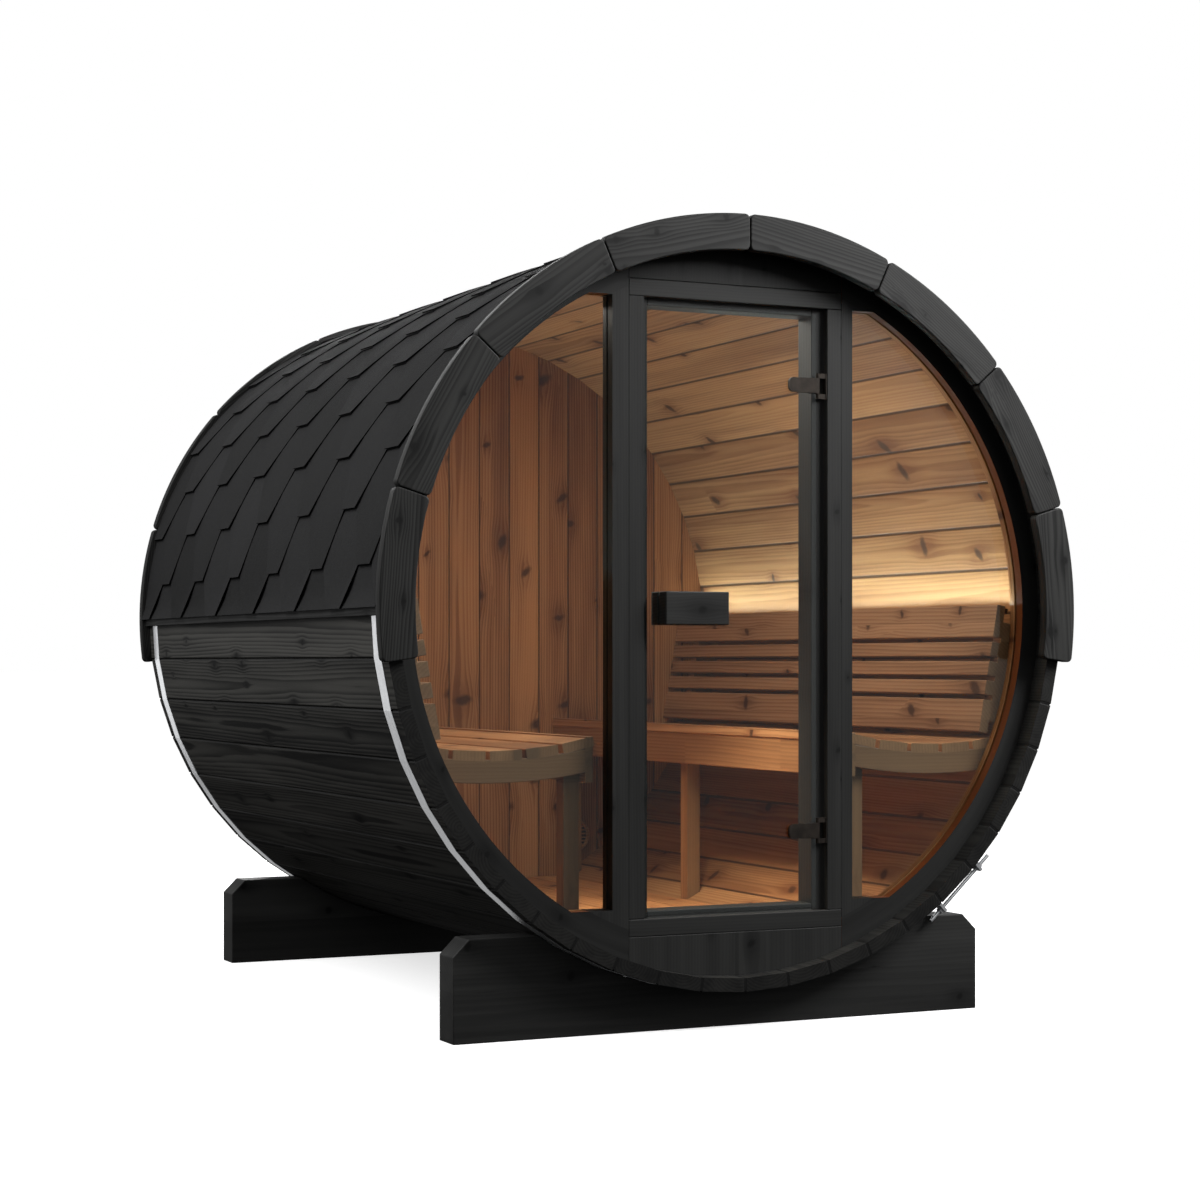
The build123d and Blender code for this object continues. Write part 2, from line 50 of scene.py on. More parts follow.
wallLow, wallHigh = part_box("rear_wall")
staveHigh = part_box("floor_staves")[1]
barrel = {
    "axisHeight": (wallLow.z + wallHigh.z) / 2,
    "halfLength": staveHigh.y,
    "staves": 48,
    "radius": 1.0,  # over the outer corners of the staves
    "skinRadius": 0.985,  # between the stained outside and the bare inside
    "roomFront": -0.99,  # behind this the inside of the staves is bare wood
    "roomRear": wallHigh.y - 0.02,
}


# Meshes: grids and shells as whole arrays


def gridFaces(rows, columns, closedRows=False, closedColumns=False):
    # quads of a grid whose vertex in row i and column j has number i * columns + j
    i = np.arange(rows if closedRows else rows - 1)[:, None]
    j = np.arange(columns if closedColumns else columns - 1)[None, :]
    nextI, nextJ = (i + 1) % rows, (j + 1) % columns
    corners = [i * columns + j, i * columns + nextJ, nextI * columns + nextJ, nextI * columns + j]
    return np.stack(corners, -1).reshape(-1, 4)


def slab(top, bottom):
    # over the top grid, back along the bottom grid, and a ladder of quads at both ends
    loop = np.concatenate([top, bottom[::-1]])
    rows, columns = loop.shape[:2]
    i = np.arange(rows // 2 - 1)
    ladder = np.stack([i, i + 1, rows - 2 - i, rows - 1 - i], -1) * columns
    faces = np.concatenate([gridFaces(rows, columns, closedRows=True), ladder, ladder + columns - 1])
    return loop.reshape(-1, 3), faces


def plate(rings):
    # rings of one outline from face to face: the skin between them and a ladder of quads on each face
    count, around = rings.shape[:2]
    i = np.arange(around // 2 - 1)
    ladder = np.stack([i, i + 1, around - 2 - i, around - 1 - i], -1)
    faces = np.concatenate(
        [gridFaces(count, around, closedColumns=True), ladder, ladder + (count - 1) * around]
    )
    return rings.reshape(-1, 3), faces


def joined(shells):
    # many shells as one list of points and one of faces
    starts = np.cumsum([0] + [len(points) for points, faces in shells])
    points = np.concatenate([points for points, faces in shells])
    faces = np.concatenate([faces + start for (points, faces), start in zip(shells, starts)])
    return points, faces


def addPiece(name, shells, material, replaced=(), body="sauna", marks=None, crease=35):
    points, faces = joined(shells)
    mesh = bpy.data.meshes.new(name)
    mesh.from_pydata(points.tolist(), [], faces.tolist())
    for key, values in (marks or {}).items():
        kind = "FLOAT" if values.ndim == 1 else "FLOAT_VECTOR"
        field = "value" if values.ndim == 1 else "vector"
        mark = mesh.attributes.new(key, kind, "POINT")
        mark.data.foreach_set(field, values.astype(np.float32).ravel())
    shell = bmesh.new()
    shell.from_mesh(mesh)
    bmesh.ops.recalc_face_normals(shell, faces=shell.faces)
    shell.to_mesh(mesh)
    shell.free()
    mesh.polygons.foreach_set("use_smooth", np.ones(len(mesh.polygons), bool))
    mesh.set_sharp_from_angle(angle=math.radians(crease))
    mesh.materials.append(material)
    piece = bpy.data.objects.new(name, mesh)
    bpy.context.collection.objects.link(piece)
    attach(piece, body)
    if replaced:
        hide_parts(*replaced)
    return piece


# Shader maths: one class round a socket


class Socket:
    def __init__(self, link):
        self.link = link
        self.tree = link.id_data

    def node(self, kind, settings=None, values=None, output=0):
        made = self.tree.nodes.new(kind)
        for key, value in (settings or {}).items():
            setattr(made, key, value)
        for key, value in (values or {}).items():
            if isinstance(value, Socket):
                self.tree.links.new(value.link, made.inputs[key])
            else:
                made.inputs[key].default_value = value
        return Socket(made.outputs[output])

    def other(self, output):
        return Socket(self.link.node.outputs[output])

    def maths(self, operation, *others):
        values = dict(enumerate((self, *others)))
        return self.node("ShaderNodeMath", {"operation": operation}, values)

    def __add__(self, other):
        return self.maths("ADD", other)

    def __mul__(self, other):
        return self.maths("MULTIPLY", other)

    def __sub__(self, other):
        return self.maths("SUBTRACT", other)

    def __rsub__(self, other):
        return self.node("ShaderNodeMath", {"operation": "SUBTRACT"}, {0: other, 1: self})

    def __truediv__(self, other):
        return self.maths("DIVIDE", other)

    def __pow__(self, other):
        return self.maths("POWER", other)

    def __gt__(self, other):
        return self.maths("GREATER_THAN", other)

    def __lt__(self, other):
        return self.maths("LESS_THAN", other)

    __radd__ = __add__
    __rmul__ = __mul__

    def parts(self):
        split = self.node("ShaderNodeSeparateXYZ", None, {0: self})
        return split, split.other(1), split.other(2)

    def vector(self, x, y, z):
        return self.node("ShaderNodeCombineXYZ", None, {0: x, 1: y, 2: z})

    def ease(self, low, high, start=0.0, end=1.0):
        values = {"Value": self, "From Min": low, "From Max": high, "To Min": start, "To Max": end}
        return self.node("ShaderNodeMapRange", {"interpolation_type": "SMOOTHSTEP"}, values)

    def noise(self, detail=2.0, roughness=0.5, scale=1.0):
        values = {"Vector": self, "Scale": scale, "Detail": detail, "Roughness": roughness}
        return self.node("ShaderNodeTexNoise", None, values)

    def between(self, first, second):
        # mixes two colours by this value
        values = {0: self, 6: first, 7: second}
        return self.node("ShaderNodeMix", {"data_type": "RGBA"}, values, 2)

    def choose(self, first, second):
        # mixes two vectors by this value
        values = {0: self, 4: first, 5: second}
        return self.node("ShaderNodeMix", {"data_type": "VECTOR"}, values, 1)

    def bump(self, strength, distance):
        values = {"Height": self, "Strength": strength, "Distance": distance}
        return self.node("ShaderNodeBump", None, values)


def srgb(red, green, blue):
    # screen colour to linear light
    share = np.array([red, green, blue]) / 255
    linear = np.where(share > 0.04045, ((share + 0.055) / 1.055) ** 2.4, share / 12.92)
    return (*linear.tolist(), 1.0)


def newMaterial(name):
    material = bpy.data.materials.new(name)
    material.use_nodes = True
    tree = material.node_tree
    place = Socket(tree.nodes.new("ShaderNodeTexCoord").outputs["Object"])
    shader = tree.nodes["Principled BSDF"]
    return material, shader, place


def dress(shader, fixed, linked):
    for key, value in fixed.items():
        shader.inputs[key].default_value = value
    for key, value in linked.items():
        value.tree.links.new(value.link, shader.inputs[key])


def shuffled(seed, count):
    # further random shares from one random share
    return [(seed * (17.31 + 29.7 * turn)).maths("FRACT") for turn in range(count)]


# Timber: rings of a log cut by the board, fibres, stain clouds and knots

stain = {  # black oil stain on spruce
    "dark": srgb(16, 16, 16),
    "light": srgb(48, 48, 48),
    "knot": srgb(9, 9, 9),
    "board": 0.3,
    "ring": 0.3,
    "fibre": 0.9,
    "cloud": 0.35,
    "ringPitch": 0.0085,
    "ringDepth": 0.09,
    "knotRadius": 0.011,
    "knotShare": 0.4,
    "knotCells": 1.0,
    "knotSlant": 0.75,
    "heart": 0.0,
    "seam": 0.6,
    "roughness": 0.5,
    "specular": 0.2,
    "relief": 0.0009,
}
heated = {  # heat-treated pine inside
    "dark": srgb(120, 74, 42),
    "light": srgb(196, 146, 98),
    "knot": srgb(60, 34, 20),
    "board": 0.28,
    "ring": 0.15,
    "fibre": 0.7,
    "cloud": 0.5,
    "ringPitch": 0.0095,
    "ringDepth": 0.09,
    "knotRadius": 0.0145,
    "knotShare": 0.66,
    "knotCells": 1.0,
    "knotSlant": 0.5,
    "heart": 0.0,
    "seam": 0.82,
    "roughness": 0.5,
    "specular": 0.35,
    "relief": 0.0006,
}
knots = {
    "along": 2.6,  # cells to a metre
    "across": 7.6,
    "wander": 1.1,  # ragged edge as a share of the knot's size
    "sizes": (0.4, 0.8),  # least size and the range above it, as shares of the radius
    "lean": (0.35, 1.1),  # the same for the angle of a branch cut on the slant
    "edge": (1.3, 0.45),  # where the dark of a knot starts and is full
    "tone": 0.85,
    "haloFade": 0.2,
    "haloTone": 0.3,
    "bend": 0.8,  # grain flows round a knot
}
figure = {  # how the grain varies within any board
    "fibre": (1.2, 34.0, 34.0),  # patterns to a metre along, across and through
    "cloud": (1.1, 9.0, 8.0),
    "logSpread": 0.12,  # metres that the heart of the log may lie off the board's middle
    "drift": 0.06,
    "tilt": 0.08,
    "pith": 0.006,  # half width of the streak at the heart
    "ringRise": (0.15, 0.85),  # from pale to dark wood within a year
    "ringFall": (1.0, 0.86),
    "relief": 0.8,
    "bump": 0.5,
}


def timber(at, seed, look, seam=None):
    # at: metres along, across and through the board; seed: its own random share; seam: dark joints
    # multiples of the seed set the patterns of one board apart from the next
    shares = shuffled(seed, 4)
    along, across, through = at.parts()
    along = along + seed * 37.0
    cells = (knots["along"] * look["knotCells"], knots["across"] * look["knotCells"])
    cell = at.vector(along * cells[0], across * cells[1] + seed * 91.0, 0.0)
    settings = {"voronoi_dimensions": "2D", "feature": "F1"}
    values = {"Vector": cell, "Scale": 1.0, "Randomness": 0.85}
    nearest = at.node("ShaderNodeTexVoronoi", settings, values)
    offset = at.node("ShaderNodeVectorMath", {"operation": "SUBTRACT"}, {0: cell, 1: nearest.other(2)})
    offAlong, offAcross = offset.parts()[:2]
    wander = at.vector(along * 24.0, across * 40.0, seed * 13.0).noise(2.0, 0.6).other(1).parts()
    ragged = knots["wander"] * look["knotRadius"]
    offAlong = offAlong / cells[0] + (wander[0] - 0.5) * ragged
    offAcross = offAcross / cells[1] + (wander[1] - 0.5) * ragged
    tint = nearest.other(1).parts()
    present = tint[0] > 1 - look["knotShare"]
    radius = (tint[1] * knots["sizes"][1] + knots["sizes"][0]) * look["knotRadius"]
    lean = tint[2] * knots["lean"][1] + knots["lean"][0]
    longSide = offAlong * lean.maths("COSINE") + offAcross * lean.maths("SINE")
    shortSide = offAcross * lean.maths("COSINE") - offAlong * lean.maths("SINE")
    reach = ((longSide * look["knotSlant"]) ** 2.0 + shortSide**2.0).maths("SQRT") / radius
    spread = ((offAlong * 0.5) ** 2.0 + offAcross**2.0).maths("SQRT") / radius
    halo = present * (spread**2.0 * -knots["haloFade"]).maths("EXPONENT")
    knot = present * reach.ease(*knots["edge"])
    bent = across - offAcross * halo * knots["bend"]
    drift = at.vector(along * 0.4, seed * 53.0, 0.0).noise(1.0) - 0.5
    tilt = at.vector(along * 0.3, seed * 71.0, 4.0).noise(1.0) - 0.5
    middle = bent - (shares[0] - 0.5) * figure["logSpread"] + drift * figure["drift"]
    depth = through + (shares[1] + 0.3) * look["ringDepth"] + tilt * figure["tilt"]
    fine, coarse = figure["fibre"], figure["cloud"]
    finePlace = at.vector(along * fine[0], bent * fine[1], through * fine[2] + seed * 9.0)
    fibre = finePlace.noise(4.0, 0.66) - 0.5
    coarsePlace = at.vector(along * coarse[0], bent * coarse[1], through * coarse[2] + seed * 5.0)
    cloud = coarsePlace.noise(2.0) - 0.5
    log = (middle * middle + depth * depth).maths("SQRT")
    turn = (log / look["ringPitch"] + fibre * 0.5 + cloud * 1.4).maths("FRACT")
    ring = turn.ease(*figure["ringRise"]) * turn.ease(*figure["ringFall"])
    tone = 0.5 + fibre * look["fibre"] + cloud * look["cloud"] + (shares[2] - 0.5) * look["board"]
    tone = tone + (0.4 - ring) * look["ring"] - halo * knots["haloTone"]
    if look["heart"]:
        streak = ((middle / figure["pith"] + fibre * 2.0) ** 2.0 * -1.0).maths("EXPONENT")
        tone = tone - streak * (shares[3] * look["heart"])
    shade = tone.ease(0.0, 1.0).between(look["dark"], look["light"])
    colour = (knot * knots["tone"]).between(shade, look["knot"])
    straight = at.vector(along * fine[0], across * fine[1], seed * 9.0).noise(3.0, 0.66) - 0.5
    height = straight * figure["relief"]  # without rings and knots, for speed
    if seam is not None:
        colour = (seam * look["seam"]).between(colour, look["knot"])
        height = height - seam * 2.0
    rough = look["roughness"] + fibre * 0.2 + ring * 0.06
    return colour, height, rough


def mixedLook(share, first, second):
    # one set of values that turns from the first look to the second, so the timber is worked out once
    look = dict(first)
    for key in second:
        if isinstance(first[key], tuple):
            look[key] = share.between(first[key], second[key])
        elif first[key] != second[key]:
            look[key] = share * (second[key] - first[key]) + first[key]
    return look


def finishTimber(shader, look, colour, height, rough):
    normal = height.bump(figure["bump"], look["relief"])
    fixed = {"Specular IOR Level": look["specular"]}
    dress(shader, fixed, {"Base Color": colour, "Roughness": rough, "Normal": normal})


def randomShare(number):
    return number.node("ShaderNodeTexWhiteNoise", {"noise_dimensions": "1D"}, {"W": number})


paintedFrontShade = {"tone": srgb(112, 88, 60), "share": 0.7}  # painted shade: a dull grey-brown for the faces that look to the front


def withFrontShade(place, colour):
    # painted shade: faces that look to the front turn a duller grey-brown, as if lit only by the neutral
    # light from the front, not by the warm lamps inside
    facing = place.node("ShaderNodeNewGeometry", None, None, 3).parts()[1]
    return (facing.ease(-0.6, -0.9) * paintedFrontShade["share"]).between(colour, paintedFrontShade["tone"])


def boardMaterial(name, look, along, across, through, step, start=0.0, face=0.0, frontShade=False):
    # straight boards side by side: the axes of the grain, the step between boards, where the face lies
    material, shader, place = newMaterial(name)
    axes = dict(zip("xyz", place.parts()))
    count = ((axes[across].maths("ABSOLUTE") - start) / step).maths("FLOOR")
    number = count + (axes[across] > 0.0) * 0.29  # the two sides differ
    at = place.vector(axes[along], axes[across], axes[through] - face)
    colour, height, rough = timber(at, randomShare(number * 0.37 + 0.11), look)
    # painted shade on the faces that look to the front, where asked
    finishTimber(shader, look, withFrontShade(place, colour) if frontShade else colour, height, rough)
    return material


print("timber ready")


# Staves: stained outside and on the lips, bare inside the room

staveLook = {
    **stain,
    "dark": srgb(19, 19, 19),
    "light": srgb(75, 74, 71),
    "fibre": 1.1,
    "ring": 0.4,
    "knotShare": 0.62,
    "knotRadius": 0.0095,
    "knotCells": 1.1,
    "seam": 0.8,
    "seamEdge": (0.006, 0.003),  # from the edge of a stave: where its dark joint starts and is full
    "endShade": srgb(15, 15, 15),  # painted shade: the end faces of the staves are darker
    "endShadeShare": 0.8,
    "sawnDepth": 0.001,
    "lip": srgb(41, 41, 40),  # smooth inside of the overhang
    "lipShare": 0.65,
}


def staveMaterial():
    material, shader, place = newMaterial("stavedBarrel")
    x, y, z = place.parts()
    up = z - barrel["axisHeight"]
    pitch = 2 * math.pi / barrel["staves"]
    angle = up.maths("ARCTAN2", x)
    number = (angle / pitch).maths("FLOOR")
    reach = (x * x + up * up).maths("SQRT")
    across = (angle - (number + 0.5) * pitch) * barrel["radius"]
    edge = barrel["radius"] * pitch / 2 - across.maths("ABSOLUTE")
    seam = edge.ease(*staveLook["seamEdge"])
    at = place.vector(y, across, reach - barrel["radius"])
    seed = randomShare(number * 0.61 + 3.3)
    bare = (reach < barrel["skinRadius"]) * (y > barrel["roomFront"]) * (y < barrel["roomRear"])
    colour, height, rough = timber(at, seed, mixedLook(bare, staveLook, heated), seam)
    # painted shade: the end faces of the staves are darkened
    endShade = y.maths("ABSOLUTE") > barrel["halfLength"] - staveLook["sawnDepth"]
    lip = (reach < barrel["skinRadius"]) * (1 - endShade) * (1 - bare)
    colour = (endShade * staveLook["endShadeShare"]).between(colour, staveLook["endShade"])
    colour = (lip * staveLook["lipShare"]).between(colour, staveLook["lip"])
    finishTimber(shader, stain, colour, height, rough)
    return material


staved = staveMaterial()
for name in ("upper_right", "roof", "upper_left", "lower_left", "floor", "lower_right"):
    nodes[f"{name}_staves"].data.materials[0] = staved
print("staves dressed")


# Shingles: courses of six-sided tabs, each course lying on the two below it

shingles = {
    "course": 0.1504,
    "firstButt": 0.1028,  # up the roof from the eave to the first whole course
    "pitch": 0.361,
    "butt": 0.098,
    "firstTab": -0.225,
    "sheet": 0.0033,
    "inner": 1.0021,
    "rows": 8,
    "drip": 0.004,
    "kick": 0.0098,  # flare over the eave trim
    "kickLength": 0.06,
    "jitter": 0.0012,
    "wobble": 0.0004,
    "courses": (-1, 11),
    "endGap": 0.002,  # no corner of a tab lies nearer to the end of the roof
    "stripHalf": 0.12,  # half width of the ridge strip
    "stripRise": 0.7,  # how far it lies above the top course, in sheets
    "curl": 0.0028,  # the butts stand off the course below
    "flatFrom": 8,  # from this course up the butts lie flat
    "flatCurl": 0.0004,
    "dark": srgb(15, 15, 15),
    "light": srgb(38, 38, 39),
    # painted shade for the tabs' edge faces
    "edgeShade": srgb(7, 7, 8),
    "grit": 520.0,  # grains to a metre
    "bump": (0.55, 0.0012),
    "roughness": 0.82,
    "specular": 0.22,
}


def shingleMaterial():
    material, shader, place = newMaterial("slateGrit")
    look = shingles
    values = {"Vector": place, "Scale": look["grit"]}
    grain = place.node("ShaderNodeTexVoronoi", {"feature": "F1"}, values)
    speck = grain.other(1).parts()[0]
    patch = place.noise(3.0, 0.6, 9.0) - 0.5
    tab = place.node("ShaderNodeAttribute", {"attribute_name": "tab"}, None, 2)
    tone = 0.5 + (speck - 0.5) * 0.55 + patch * 0.5 + (tab - 0.5) * 0.35
    x, y, z = place.parts()
    outward = place.vector(x, 0.0, z - barrel["axisHeight"])
    facing = place.node("ShaderNodeNewGeometry", None, None, 3)
    lean = place.node("ShaderNodeVectorMath", {"operation": "DOT_PRODUCT"}, {0: outward, 1: facing}, 1)
    shadedEdge = lean.ease(0.8, 0.4)  # painted shade: the tabs' edge faces, which don't face out from the roof, are painted near-black for the shadow lines under the butts
    colour = shadedEdge.between(tone.ease(0.0, 1.0).between(look["dark"], look["light"]), look["edgeShade"])
    height = speck * 0.6 + patch * 0.6 - grain * 0.4
    normal = height.bump(*look["bump"])
    rough = look["roughness"] + patch * 0.2
    fixed = {"Specular IOR Level": look["specular"]}
    dress(shader, fixed, {"Base Color": colour, "Roughness": rough, "Normal": normal})
    return material


def roofPoint(side, radius, arc, y):
    # a point at a distance up the roof from the eave, on one side of the ridge
    angle = arc / (shingles["inner"] + shingles["sheet"])
    x = side * radius * np.cos(angle)
    return np.stack([x, y, barrel["axisHeight"] + radius * np.sin(angle)], -1)


def shingleCourse(side, number):
    # lower edge: flat butts and notches joined by slopes; the sheet thins towards its top like a wedge
    look = shingles
    half = barrel["halfLength"]
    start = look["firstButt"] + (number - 1) * look["course"]
    middle = look["firstTab"] + (0 if number % 2 else look["pitch"] / 2)
    slope = look["pitch"] / 2 - look["butt"]
    flat = look["butt"] / 2
    turns = np.array([-flat - slope, -flat, flat, flat + slope])
    corners = (middle + look["pitch"] * np.arange(-5, 6)[:, None] + turns).ravel()
    y = np.concatenate([[-half], corners[abs(corners) < half - look["endGap"]], [half]])
    away = abs((y - middle + look["pitch"] / 2) % look["pitch"] - look["pitch"] / 2)
    edge = start + look["course"] * np.clip((away - flat) / slope, 0, 1)
    y[1:-1] += draw.normal(0, look["jitter"], len(y) - 2)
    ridge = (look["inner"] + look["sheet"]) * math.pi / 2
    low = np.clip(edge, -look["drip"], ridge)
    high = min(start + 2 * look["course"], ridge)
    share = np.linspace(0, 1, look["rows"])[:, None]
    arc = low + share * (high - low)
    thick = look["sheet"]
    curl = look["curl"] if number < look["flatFrom"] else look["flatCurl"]
    lift = curl * (edge < start + 0.001) + abs(draw.normal(0, look["wobble"], len(y)))
    top = look["inner"] + thick * (3 - (arc - start) / look["course"]) + lift * (1 - share) ** 3
    top = top + look["kick"] * np.clip(1 - arc / look["kickLength"], 0, 1.1) ** 2
    across = np.broadcast_to(y, arc.shape)
    shell = slab(roofPoint(side, top, arc, across), roofPoint(side, top - thick, arc, across))
    tab = np.floor((y - middle) / look["pitch"] + 0.5) * 0.37 + number * 0.71 + side * 0.13
    tone = np.tile((np.sin(tab * 12.9898) * 43758.5453) % 1.0, 2 * look["rows"])  # a share for each tab
    return shell, tone


def ridgeStrip():
    # one sheet bent over the ridge and drawn out from end to end
    look = shingles
    y = barrel["halfLength"] * np.linspace(-1, 1, 4)[:, None]
    arc = np.linspace(-look["stripHalf"], look["stripHalf"], 13)
    angle = math.pi / 2 - arc / look["inner"] + 0 * y
    top = look["inner"] + look["sheet"] * (3 + look["stripRise"])
    sheets = []
    for radius in (top, top - look["sheet"]):
        spot = (radius * np.cos(angle), y + 0 * arc, barrel["axisHeight"] + radius * np.sin(angle))
        sheets.append(np.stack(spot, -1))
    return slab(*sheets)


slate = shingleMaterial()
courses = range(*shingles["courses"])
for side, node in ((1, "roof_shingles_right"), (-1, "roof_shingles_left")):
    laid = [shingleCourse(side, number) for number in courses]
    shells = [shell for shell, tone in laid]
    tones = np.concatenate([tone for shell, tone in laid])
    addPiece(f"{node}_tabs", shells, slate, (node,), marks={"tab": tones})
strip = ridgeStrip()
addPiece("ridge_strip", [strip], slate, marks={"tab": np.full(len(strip[0]), 0.5)})
print("shingles laid")


# Arch boards: sawn from straight planks, so the grain runs along each board's chord

archBoards = {
    "outer": 1.025,
    "inner": 0.93,
    "sweep": math.radians(24.5),
    "joint": 0.002,
    "corner": 0.014,
    "ease": 0.003,
    "faceRing": 0.5,  # keeps the flat of each face flat, as a share of the easing
    "boardsEachSide": 4,
    "cornerPoints": 7,
    "arcPoints": 15,
}
archLook = {
    **stain,
    "dark": srgb(17, 17, 17),
    "light": srgb(59, 59, 58),
    "ringPitch": 0.0055,
    "ring": 0.36,
    "fibre": 1.0,
    "knotRadius": 0.0105,
    "knotShare": 0.8,
    "knotCells": 1.8,
    "knotSlant": 0.9,
}


def archMaterial():
    material, shader, place = newMaterial("archPlank")
    at = place.node("ShaderNodeAttribute", {"attribute_name": "grain"}, None, 1)
    seed = place.node("ShaderNodeAttribute", {"attribute_name": "plank"}, None, 2)
    finishTimber(shader, archLook, *timber(at, seed, archLook))
    return material


def archBoard(middle, front, back, plank):
    # outline: two arcs and two radial ends with round corners, drawn in by the easing at both faces
    look = archBoards
    half = look["sweep"] / 2
    turn = np.linspace(0, math.pi / 2, 4)
    flat = [1 + look["faceRing"]]
    inset = look["ease"] * np.concatenate([flat, 1 - np.sin(turn), 1 - np.sin(turn[::-1]), flat])[:, None]
    rise = look["ease"] * (1 - np.cos(turn))
    depth = np.concatenate([[front], front + rise, back - rise[::-1], [back]])
    bend = np.linspace(0, math.pi / 2, look["cornerPoints"])
    radii = look["corner"] - inset
    run = np.linspace(-1, 1, look["arcPoints"])[1:-1]
    chains = []
    for radius, sign in ((look["outer"], -1), (look["inner"], 1)):
        centre = radius + sign * look["corner"]
        cornerRadius = centre - sign * radii * np.sin(bend)
        reach = look["joint"] / 2 + look["corner"] - radii * np.cos(bend)
        cornerAngle = half - reach / cornerRadius
        arcRadius = radius + sign * inset + 0 * run
        arcAngle = run * (half - (look["joint"] / 2 + look["corner"]) / radius) + 0 * inset
        radiusChain = np.concatenate([cornerRadius, arcRadius, cornerRadius[:, ::-1]], 1)
        angleChain = np.concatenate([-cornerAngle, arcAngle, cornerAngle[:, ::-1]], 1)
        chains.append((radiusChain, angleChain))
    radius = np.concatenate([chains[0][0], chains[1][0][:, ::-1]], 1)
    angle = np.concatenate([chains[0][1], chains[1][1][:, ::-1]], 1)
    y = depth[:, None] + 0 * radius
    turned = angle + middle
    spot = (radius * np.cos(turned), y, barrel["axisHeight"] + radius * np.sin(turned))
    chord, across = radius * np.sin(angle), radius * np.cos(angle) - look["inner"]
    grain = np.stack([chord, across, y - front], -1).reshape(-1, 3)
    return plate(np.stack(spot, -1)), grain, np.full(len(grain), plank)


archPlank = archMaterial()
for end in ("front", "rear"):
    for side, turnSign in (("left", 1), ("right", -1)):
        node = f"{end}_arch_{side}"
        low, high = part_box(node)
        steps = (np.arange(archBoards["boardsEachSide"]) + 0.5) * archBoards["sweep"]
        middles = math.pi / 2 + turnSign * steps
        made = [archBoard(middle, low.y, high.y, draw.random()) for middle in middles]
        marks = {
            "grain": np.concatenate([grain for shell, grain, plank in made]),
            "plank": np.concatenate([plank for shell, grain, plank in made]),
        }
        shells = [shell for shell, grain, plank in made]
        addPiece(f"{node}_boards", shells, archPlank, (node,), marks=marks)
print("arch boards set")


# Rear wall: upright tongued boards with a V at each joint

rearBoards = {
    "pitch": 0.1101,
    "firstJoint": 0.0032,
    "groove": 0.0035,
    "edgeGap": 0.0004,
    "seam": (0.003, 0.001),
}
rearLook = {
    **heated,
    "ring": 0.26,
    "cloud": 0.9,
    "board": 0.5,
    "knotRadius": 0.016,
    "knotShare": 0.8,
    "heart": 0.9,
}


def rearMaterial():
    material, shader, place = newMaterial("rearBoarding")
    x, y, z = place.parts()
    boards = (x - rearBoards["firstJoint"]) / rearBoards["pitch"]
    number = boards.maths("FLOOR")
    edge = (0.5 - (boards - number - 0.5).maths("ABSOLUTE")) * rearBoards["pitch"]
    seam = edge.ease(*rearBoards["seam"])
    at = place.vector(z, x, y - barrel["roomRear"])
    seed = randomShare(number * 0.53 + 7.7)
    bare = y < barrel["roomRear"]
    colour, height, rough = timber(at, seed, mixedLook(bare, stain, rearLook), seam)
    finishTimber(shader, heated, colour, height, rough)
    return material


def rearBoard(number):
    # a plank with V edges on both faces, its ends cut to the round of the barrel
    look = rearBoards
    radius = (wallHigh.x - wallLow.x) / 2 - look["edgeGap"]
    left = np.clip(look["firstJoint"] + number * look["pitch"], -radius, radius)
    right = np.clip(look["firstJoint"] + (number + 1) * look["pitch"], -radius, radius)
    width, groove = right - left, look["groove"]
    turns = np.array([0, groove, 0.5 * width, width - groove, width])
    x = np.clip(left + turns, left, right)[:, None]
    dip = np.array([1, 0, 0, 0, 1])[:, None] * groove
    share = np.linspace(-1, 1, 5)
    z = share * np.sqrt(np.clip(radius**2 - x**2, 0, None))
    grids = []
    for y in (wallLow.y + dip, wallHigh.y - dip):
        grids.append(np.stack([x + 0 * z, y + 0 * z, barrel["axisHeight"] + z], -1))
    return slab(*grids)


reach = int(math.ceil(wallHigh.x / rearBoards["pitch"]))
planks = [rearBoard(number) for number in range(-reach - 1, reach)]
planks = [plank for plank in planks if np.ptp(plank[0][:, 0]) > 2 * rearBoards["groove"]]
addPiece("rear_wall_boards", planks, rearMaterial(), ("rear_wall",), crease=20)
print("rear wall boarded")


# Carried-over wood: copies of the solids with eased edges


def easedCopy(node, material, width, body="sauna"):
    source = nodes[node].data
    shell = bmesh.new()
    shell.from_mesh(source)
    bmesh.ops.remove_doubles(shell, verts=shell.verts, dist=1e-5)
    bmesh.ops.dissolve_limit(shell, angle_limit=math.radians(1), verts=shell.verts, edges=shell.edges)
    mesh = bpy.data.meshes.new(f"{node}_eased")
    shell.to_mesh(mesh)
    shell.free()
    mesh.polygons.foreach_set("use_smooth", np.zeros(len(mesh.polygons), bool))
    mesh.materials.append(material)
    piece = bpy.data.objects.new(f"{node}_eased", mesh)
    bpy.context.collection.objects.link(piece)
    bevel = piece.modifiers.new("easedEdges", "BEVEL")
    bevel.width, bevel.segments, bevel.limit_method = width, 2, "ANGLE"
    bevel.angle_limit = math.radians(40)
    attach(piece, body)
    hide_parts(node)
    return piece


